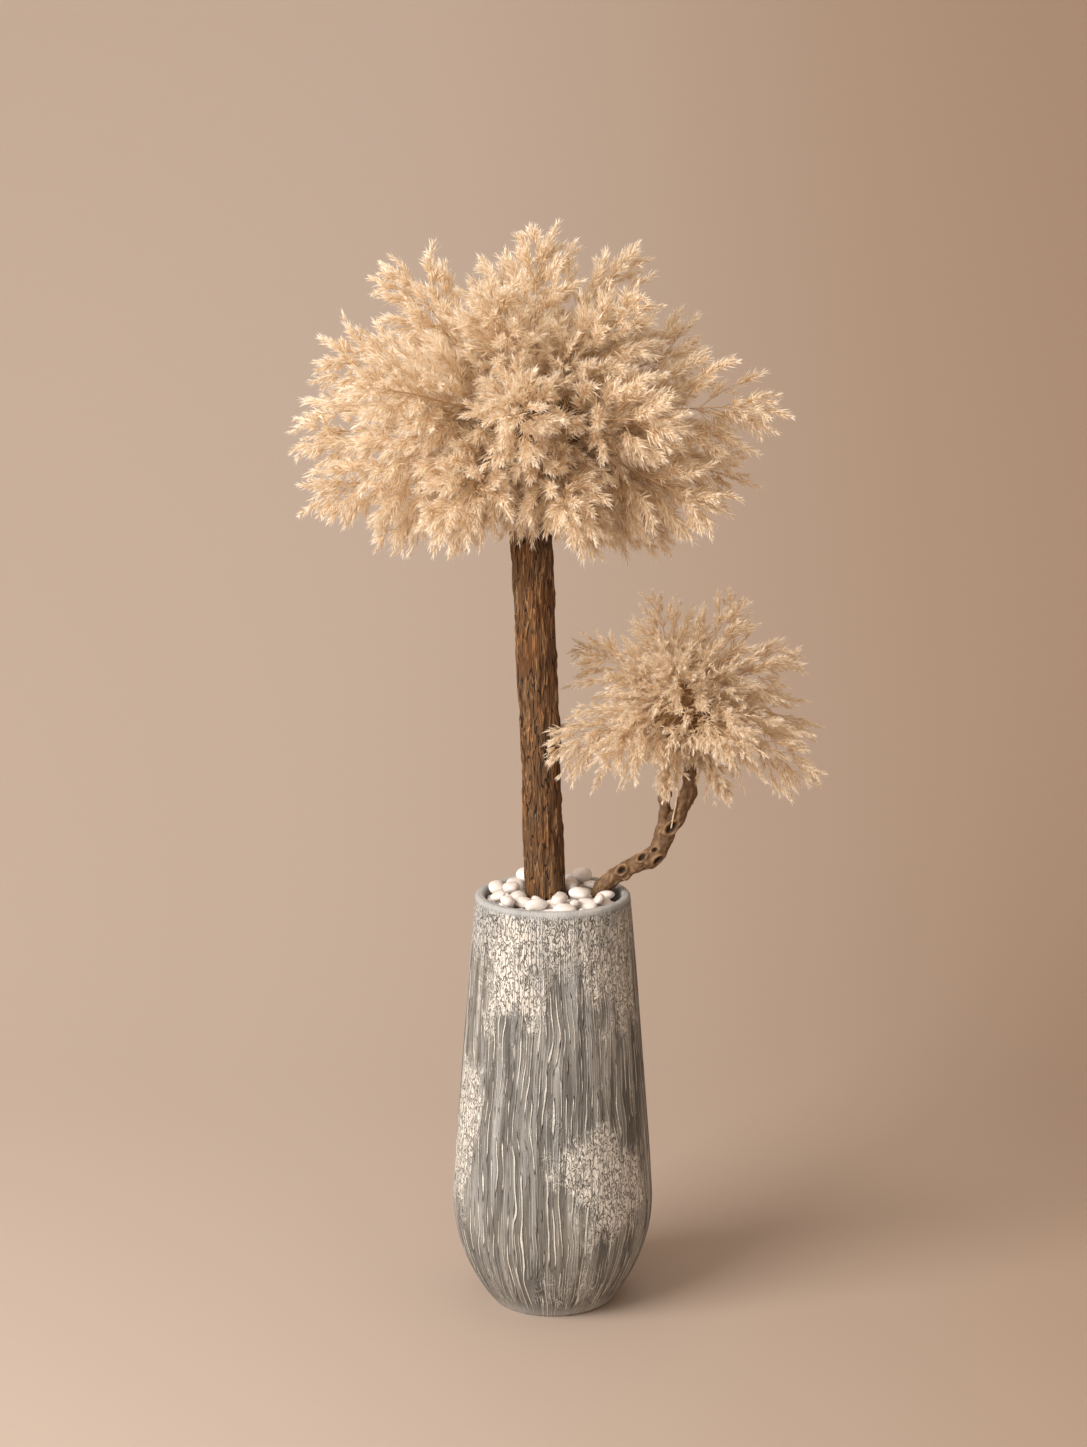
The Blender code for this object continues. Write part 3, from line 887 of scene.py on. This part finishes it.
def grow_plume(tuft, centre, way, flat, ball, reach, droop, looks, rng):
    """One panicle: a bowed stalk, branchlets all round it, fingers on the branchlets and hairs on those."""
    start = ball - 0.004
    along = start + (reach - start) * np.linspace(0, 1, 24)
    line = centre + way * along[:, None]
    line[:, 2] += -droop * flat * np.maximum(along - ball, 0) ** 2
    length = np.linalg.norm(np.diff(line, axis=0), axis=1).sum()
    tuft.stalk(line, looks["stalk"], looks["stalk"] * 0.35, STALK_TONE, 5)
    rows = (line, *frames_along(line))
    widest = length * looks["span"] * (1 - looks["narrow"] * max(0.0, -way[2]))
    steps = np.linspace(0, 1, 6)
    routes = []
    for index in range(looks["branches"]):
        share = 0.01 + 0.90 * ((index + rng.uniform(0, 0.9)) / looks["branches"]) ** 1.08
        spin = index * GOLDEN_TURN + rng.normal(0, 0.3)
        root, forward, across, over = frame_at(share, *rows)
        out = unit(across * math.cos(spin) + over * math.sin(spin))
        room = 1 - share
        span = widest * (looks["end"] + (1 - looks["end"]) * min(1.0, room / 0.66) ** 0.9)
        span *= rng.uniform(0.75, 1.2)
        lean = math.radians(looks["lean"]) * rng.uniform(0.8, 1.2) * (0.45 + 0.55 * room**0.6)
        heading = forward * math.cos(lean) + out * math.sin(lean)
        route = root + heading * (steps * span)[:, None]
        route += (forward - heading) * (looks["curl"] * span * steps**2)[:, None]
        route[:, 2] -= looks["weight"] * span * steps**2
        tuft.stalk(route, looks["stalk"] * 0.38, looks["stalk"] * 0.12, STALK_TONE)
        routes.append((route, span, out, share))
    for route in routes:
        fingers(tuft, *route, looks, rng)
    feather(tuft, line[-6:], length * 0.22, looks, rng, 1.0, looks["point"])


def fingers(tuft, route, span, out, share, looks, rng):
    """Short pointed tassels along one branchlet, splayed to all sides and most of all outwards."""
    rows = (route, *frames_along(route))
    many = max(2, int(round(span / looks["spacing"])))
    size = looks["point"] + (1 - looks["point"]) * min(1.0, (1 - share) / 0.5)
    steps = np.linspace(0, 1, 5)
    for index in range(many):
        spot = 0.12 + 0.88 * (index + rng.uniform(0.1, 0.9)) / many
        spin = index * GOLDEN_TURN + rng.uniform(0, 6.283)
        root, forward, across, over = frame_at(spot, *rows)
        away = unit(across * math.cos(spin) + over * math.sin(spin) + out * 0.55)
        splay = math.radians(rng.uniform(18, looks["splay"])) * (1.05 - 0.55 * spot)
        heading = unit(forward * math.cos(splay) + away * math.sin(splay))
        length = looks["finger"] * rng.uniform(0.6, 1.2) * size
        line = root + heading * (steps * length)[:, None]
        line += forward * (0.16 * length * steps**2)[:, None]
        line[:, 2] -= 0.06 * length * steps**2
        feather(tuft, line, length, looks, rng, 0.35 + 0.65 * spot, 0.35 + 0.65 * size)
    feather(tuft, route[-3:], looks["finger"] * size, looks, rng, 1.0, 0.35 + 0.65 * size)


def feather(tuft, route, span, looks, rng, depth, size):
    """Hairs all round one tassel, leaning forward and closing to a point at its end."""
    many = max(int(looks["density"] * span / 0.01), 8)

    def any_of(low, high):
        return rng.uniform(low, high, many)

    share = np.clip(rng.beta(1.15, 1.0, many), 0.0, 0.99)
    ahead, side, up = (at(rows, share) for rows in frames_along(route))
    forward = unit(ahead)
    spin = any_of(0, 2 * math.pi)
    radial = unit(side * np.cos(spin)[:, None] + up * np.sin(spin)[:, None])
    lean = np.radians(rng.normal(looks["hair_lean"], 9.0, many)) * (1 - 0.40 * share)
    way = unit(forward * np.cos(lean)[:, None] + radial * np.sin(lean)[:, None])
    length = looks["hair"] * size * (1.15 - 0.50 * share) * any_of(0.6, 1.15)
    width = looks["width"] * any_of(0.7, 1.25)
    bend = forward * (length * any_of(0.0, 0.2))[:, None]
    bend[:, 2] -= length * any_of(0.0, 0.10)
    bend += rng.normal(0, 1, (many, 3)) * (length * 0.07)[:, None]
    # Painted shade: hairs near the root of their tassel and near the plume's main stalk get a darker tone; the
    # random part is the hairs' own variation
    tone = np.clip(0.18 + 0.30 * share + 0.38 * depth + rng.normal(0, 0.14, many), 0.12, 0.98)
    face = unit(radial + rng.normal(0, 0.6, (many, 3)))
    tuft.blades(at(route, share), way, face, length, width, tone, bend)


def even_directions(count, taken, clear):
    """Directions spread evenly over a ball, without those nearer than an angle to one already taken."""
    found = []
    for index in range(count):
        level = 1 - 2 * (index + 0.5) / count
        turn = index * GOLDEN_TURN
        flat = math.sqrt(1 - level * level)
        way = np.array((flat * math.cos(turn), flat * math.sin(turn), level))
        if all(way @ other < math.cos(math.radians(clear)) for other in taken):
            found.append(way)
    return found


# Tone of all stalks in the plumes' own map
STALK_TONE = 0.34
# A plume is cut to trim of the solid's reach, and by lift more the more it points down; narrow does that to
# its width. Branchlets are span of its length long, less at its end, where fingers and hairs shrink to point.
# Lean, splay and hair_lean are degrees off the stem they grow from; density is hairs in a centimetre.
CROWN_LOOKS = dict(
    trim=0.94, lift=0.22, end=0.18, point=0.60, narrow=0.0, stalk=0.0015, branches=27, span=0.45, lean=64.0,
    curl=0.28, weight=0.04, spacing=0.0160, splay=62.0, finger=0.030, density=16.0, hair=0.0190,
    width=0.00170, hair_lean=38.0,
)
SMALL_LOOKS = dict(
    trim=1.0, lift=0.22, end=0.02, point=0.34, narrow=0.75, stalk=0.0011, branches=21, span=0.48, lean=54.0,
    curl=0.28, weight=0.16, spacing=0.0130, splay=55.0, finger=0.024, density=17.0, hair=0.0140,
    width=0.00130, hair_lean=30.0,
)
# What differs in the short plumes between: how many ways are tried, how many degrees they keep clear of the
# large ones, and how far they reach
CROWN_UNDER = dict(count=70, clear=9.0, reach=0.125, branches=7, span=0.42, density=11.0, width=0.0018)
SMALL_UNDER = dict(count=110, clear=6.0, reach=0.085, branches=4, span=0.46, density=8.0, width=0.0018)
# Each head: plumes, ball, droop as on the solids, looks, what differs between, and where its draws start
HEADS = (
    ("crown_plume", "crown_ball", 0.42, CROWN_LOOKS, CROWN_UNDER, 0),
    ("small_plume", "small_crown_ball", 1.7, SMALL_LOOKS, SMALL_UNDER, 500),
)


def make_head(prefix, ball_name, droop, looks, under, draws, seed, finish):
    """A head: one plume in place of each solid one, and one piece of short plumes in the gaps."""
    low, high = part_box(ball_name)
    ball = (high.x - low.x) / 2
    centre = np.array(((low.x + high.x) / 2, (low.y + high.y) / 2, high.z - ball))
    names = sorted(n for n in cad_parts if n.startswith(prefix))
    taken = []
    for index, name in enumerate(names):
        rng = np.random.default_rng(seed * 1000 + index + draws)
        way, reach, flat = solve_heading(plume_tip(name, centre), centre, ball, droop)
        taken.append(way)
        tuft = Tuft()
        reach *= looks["trim"] - looks["lift"] * max(0.0, -way[2])
        grow_plume(tuft, centre, way, flat, ball, reach, droop, looks, rng)
        finish_piece(tuft.to_object("feathered_" + name), "dried_plume", finish, name)
    tuft = Tuft()
    rng = np.random.default_rng(seed * 1000 + 900 + len(names))
    for way in even_directions(under["count"], taken, under["clear"]):
        reach = ball + under["reach"] * rng.uniform(0.7, 1.15) * (0.3 if way[2] < -0.25 else 1.0)
        flat = math.hypot(way[0], way[1])
        grow_plume(tuft, centre, way, flat, ball, reach, droop, {**looks, **under}, rng)
    finish_piece(tuft.to_object("underfill_" + prefix), "dried_plume", finish)


# Stage


def make_paper(colour):
    """Seamless paper: a flat floor that sweeps up behind, clear from its back so that the tree shows there."""
    obj = grid("seamless_paper", 1, 80)
    points = points_of(obj.data)
    width, front, back, sweep, wall = 14.0, -7.0, 0.9, 3.2, 5.0
    flat = back - front
    arc = sweep * math.pi / 2
    distance = (points[:, 1] + 0.5) * (flat + arc + wall)
    turn = np.clip((distance - flat) / sweep, 0, math.pi / 2)
    y = np.where(distance < flat, front + distance, back + sweep * np.sin(turn))
    z = sweep * (1 - np.cos(turn)) + np.maximum(distance - flat - arc, 0)
    set_points(obj.data, np.stack([points[:, 0] * width, y, z], 1))
    shade_smooth(obj)
    made, tree = new_material("seamless_paper")
    # Painted shade: the paper grows darker and warmer towards the right, away from the window light
    deep = (colour[0] * 0.86, colour[1] * 0.765, colour[2] * 0.68, 1.0)
    tint = blend(tree, ease(tree, split(tree, object_place(tree))["X"], -0.5, 1.3), tuple(colour), deep)
    shader = principled(tree, tint, 0.95, 0.1)
    behind = add(tree, "NewGeometry").outputs["Backfacing"]
    clear = add(tree, "BsdfTransparent")
    mix = add(tree, "MixShader", i0=behind, i1=shader.outputs[0], i2=clear.outputs[0])
    obj.data.materials.append(finish_material(made, mix))


def aim(obj, location, target):
    """Puts a light or camera at a place and turns it to another."""
    obj.location = location
    obj.rotation_euler = (Vector(target) - Vector(location)).to_track_quat("-Z", "Y").to_euler()


def make_area(name, location, target, size, power, colour):
    """A soft rectangular light."""
    light = bpy.data.lights.new(name, "AREA")
    light.shape = "RECTANGLE"
    light.size = size[0]
    light.size_y = size[1]
    light.energy = power
    light.color = linear(colour)[:3]
    aim(link(name, light), location, target)


def make_lights(power):
    make_area("window_light", (-3.3, -2.6, 3.0), (0.0, 0.3, 0.8), (3.2, 3.0), power, "#FFFAF4")
    make_area("front_fill", (-1.4, -4.6, 2.6), (0.0, 0.0, 0.8), (3.0, 3.0), power * 0.12, "#FFF8F0")
    make_area("top_fill", (0.4, 0.8, 4.2), (0.0, 0.0, 0.6), (3.5, 3.5), power * 0.10, "#FFF8F0")
    bpy.context.scene.view_settings.view_transform = "Standard"
    world = bpy.data.worlds.new("studio")
    bpy.context.scene.world = world
    world.use_nodes = True
    background = world.node_tree.nodes["Background"]
    background.inputs["Color"].default_value = linear("#EFD9C4")
    background.inputs["Strength"].default_value = 0.50


def make_camera():
    """The photograph's view: from the front, a little above the planter's rim, looking slightly down."""
    picture_height = 1447
    focal_pixels = 3300
    side_step = -0.0134
    camera = bpy.data.cameras.new("photo_camera")
    camera.sensor_fit = "VERTICAL"
    camera.sensor_height = 24.0
    camera.lens = focal_pixels / picture_height * camera.sensor_height
    camera.clip_end = 60.0
    obj = link("photo_camera", camera)
    aim(obj, (side_step, -4.5673, 1.8279), (side_step, 0.0, 0.8572))
    bpy.context.scene.camera = obj


# Settings


def whole_number(name, description, default, **limits):
    return bpy.props.IntProperty(name=name, description=description, default=default, **limits)


class PampasTreeSettings(bpy.types.PropertyGroup):
    planter_columns: whole_number("Planter columns", "Corners round the planter", 288, min=48)
    trunk_columns: whole_number("Trunk columns", "Corners round the trunk", 112, min=24)
    trunk_rows: whole_number("Trunk rows", "Corners along the trunk", 280, min=40)
    loose_pebbles: whole_number("Loose pebbles", "Pebbles heaped over the first layer", 96, min=0)
    seed: whole_number("Seed", "Start of the random draws", 7)


class StageSettings(bpy.types.PropertyGroup):
    floor_colour: bpy.props.FloatVectorProperty(
        name="Paper colour",
        description="Colour of the seamless paper behind and under the tree",
        subtype="COLOR",
        size=4,
        default=linear("#BCADA1"),
    )
    key_power: bpy.props.FloatProperty(
        name="Key light", description="Power of the large soft light", default=318.0, unit="POWER"
    )


# Operators


class PAMPAS_OT_planter(bpy.types.Operator):
    """Adds the carved, whitewashed planter"""

    bl_idname = "pampas.planter"
    bl_label = "Carved planter"

    def execute(self, context):
        settings = context.scene.pampas_tree
        obj = make_planter_piece(settings.planter_columns, settings.seed)
        finish_piece(obj, "carved_fibre_clay", planter_material(), "planter")
        return {"FINISHED"}


class PAMPAS_OT_trunk(bpy.types.Operator):
    """Adds the trunk with its bark ridges"""

    bl_idname = "pampas.trunk"
    bl_label = "Bark trunk"

    def execute(self, context):
        settings = context.scene.pampas_tree
        obj = make_trunk_piece(settings.trunk_columns, settings.trunk_rows, settings.seed + 1)
        finish_piece(obj, "bark", bark_material(), "trunk")
        return {"FINISHED"}


class PAMPAS_OT_branch(bpy.types.Operator):
    """Adds the forked driftwood branch with its knots"""

    bl_idname = "pampas.branch"
    bl_label = "Driftwood branch"

    def execute(self, context):
        finish_piece(make_branch_piece(), "driftwood", driftwood_material(), "driftwood_branch")
        stem = tube("stem_in_fork", FORK_STEM, 8)
        stem.data.name = stem.name
        finish_piece(stem, "dried_plume", straw_material())
        return {"FINISHED"}


class PAMPAS_OT_pebbles(bpy.types.Operator):
    """Adds the pebbles: the first layer on the fill and the loose ones heaped over it"""

    bl_idname = "pampas.pebbles"
    bl_label = "White pebbles"

    def execute(self, context):
        settings = context.scene.pampas_tree
        finish = pebble_material()
        solids = []
        for index, (name, centre, axes, spin) in enumerate(cad_pebbles()):
            turn = Matrix.Rotation(spin, 4, "Z")
            obj = pebble_shape("tumbled_" + name, centre, axes, turn, settings.seed + 20 + index)
            finish_piece(obj, "white_pebble", finish, name)
            solids.append((centre, axes, spin))
        heap = drop_pebbles(settings.loose_pebbles, settings.seed + 50, solids)
        for index, (centre, axes, tilt) in enumerate(heap):
            name = f"loose_pebble_{index + 1:02d}"
            obj = pebble_shape(name, centre, axes, tilt.to_4x4(), settings.seed + 80 + index, 3)
            finish_piece(obj, "white_pebble", finish)
        return {"FINISHED"}


class PAMPAS_OT_fill(bpy.types.Operator):
    """Finishes the hidden fill and the two foam balls that hold the stems"""

    bl_idname = "pampas.fill"
    bl_label = "Fill and foam"

    def execute(self, context):
        foam = crumb_material("dry_floral_foam", "#5E442B", "#96734D", 260.0)
        fill = crumb_material("packed_potting_mix", "#1E1712", "#4A3C2F", 180.0)
        for name, finish in (("crown_ball", foam), ("small_crown_ball", foam), ("planting_fill", fill)):
            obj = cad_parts[name]
            obj.data.materials.clear()
            obj.data.materials.append(finish)
        return {"FINISHED"}


class PAMPAS_OT_plumes(bpy.types.Operator):
    """Adds the dried plumes of both heads"""

    bl_idname = "pampas.plumes"
    bl_label = "Pampas plumes"

    def execute(self, context):
        finish = plume_material()
        for head in HEADS:
            make_head(*head, context.scene.pampas_tree.seed, finish)
        return {"FINISHED"}


class PAMPAS_OT_stage(bpy.types.Operator):
    """Adds the seamless paper, the lights and the camera"""

    bl_idname = "pampas.stage"
    bl_label = "Stage"

    def execute(self, context):
        settings = context.scene.pampas_stage
        make_paper(settings.floor_colour)
        make_lights(settings.key_power)
        make_camera()
        return {"FINISHED"}


class PAMPAS_PT_panel(bpy.types.Panel):
    bl_label = "Pampas grass tree"
    bl_idname = "PAMPAS_PT_panel"
    bl_space_type = "VIEW_3D"
    bl_region_type = "UI"
    bl_category = "Pampas"

    def draw(self, context):
        layout = self.layout
        settings = context.scene.pampas_tree
        for name in ("planter_columns", "trunk_columns", "trunk_rows", "loose_pebbles", "seed"):
            layout.prop(settings, name)
        stage = context.scene.pampas_stage
        layout.prop(stage, "floor_colour")
        layout.prop(stage, "key_power")
        for operator in OPERATORS:
            layout.operator(operator.bl_idname)


OPERATORS = (
    PAMPAS_OT_stage,
    PAMPAS_OT_fill,
    PAMPAS_OT_planter,
    PAMPAS_OT_trunk,
    PAMPAS_OT_branch,
    PAMPAS_OT_pebbles,
    PAMPAS_OT_plumes,
)
CLASSES = (PampasTreeSettings, StageSettings, *OPERATORS, PAMPAS_PT_panel)


def register():
    for item in CLASSES:
        bpy.utils.register_class(item)
    bpy.types.Scene.pampas_tree = bpy.props.PointerProperty(type=PampasTreeSettings)
    bpy.types.Scene.pampas_stage = bpy.props.PointerProperty(type=StageSettings)


def unregister():
    del bpy.types.Scene.pampas_stage
    del bpy.types.Scene.pampas_tree
    for item in reversed(CLASSES):
        bpy.utils.unregister_class(item)


def main():
    register()
    bpy.ops.pampas.stage()
    bpy.ops.pampas.fill()
    bpy.ops.pampas.planter()
    bpy.ops.pampas.trunk()
    bpy.ops.pampas.branch()
    bpy.ops.pampas.pebbles()
    bpy.ops.pampas.plumes()
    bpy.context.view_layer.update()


if __name__ == "__main__":
    main()
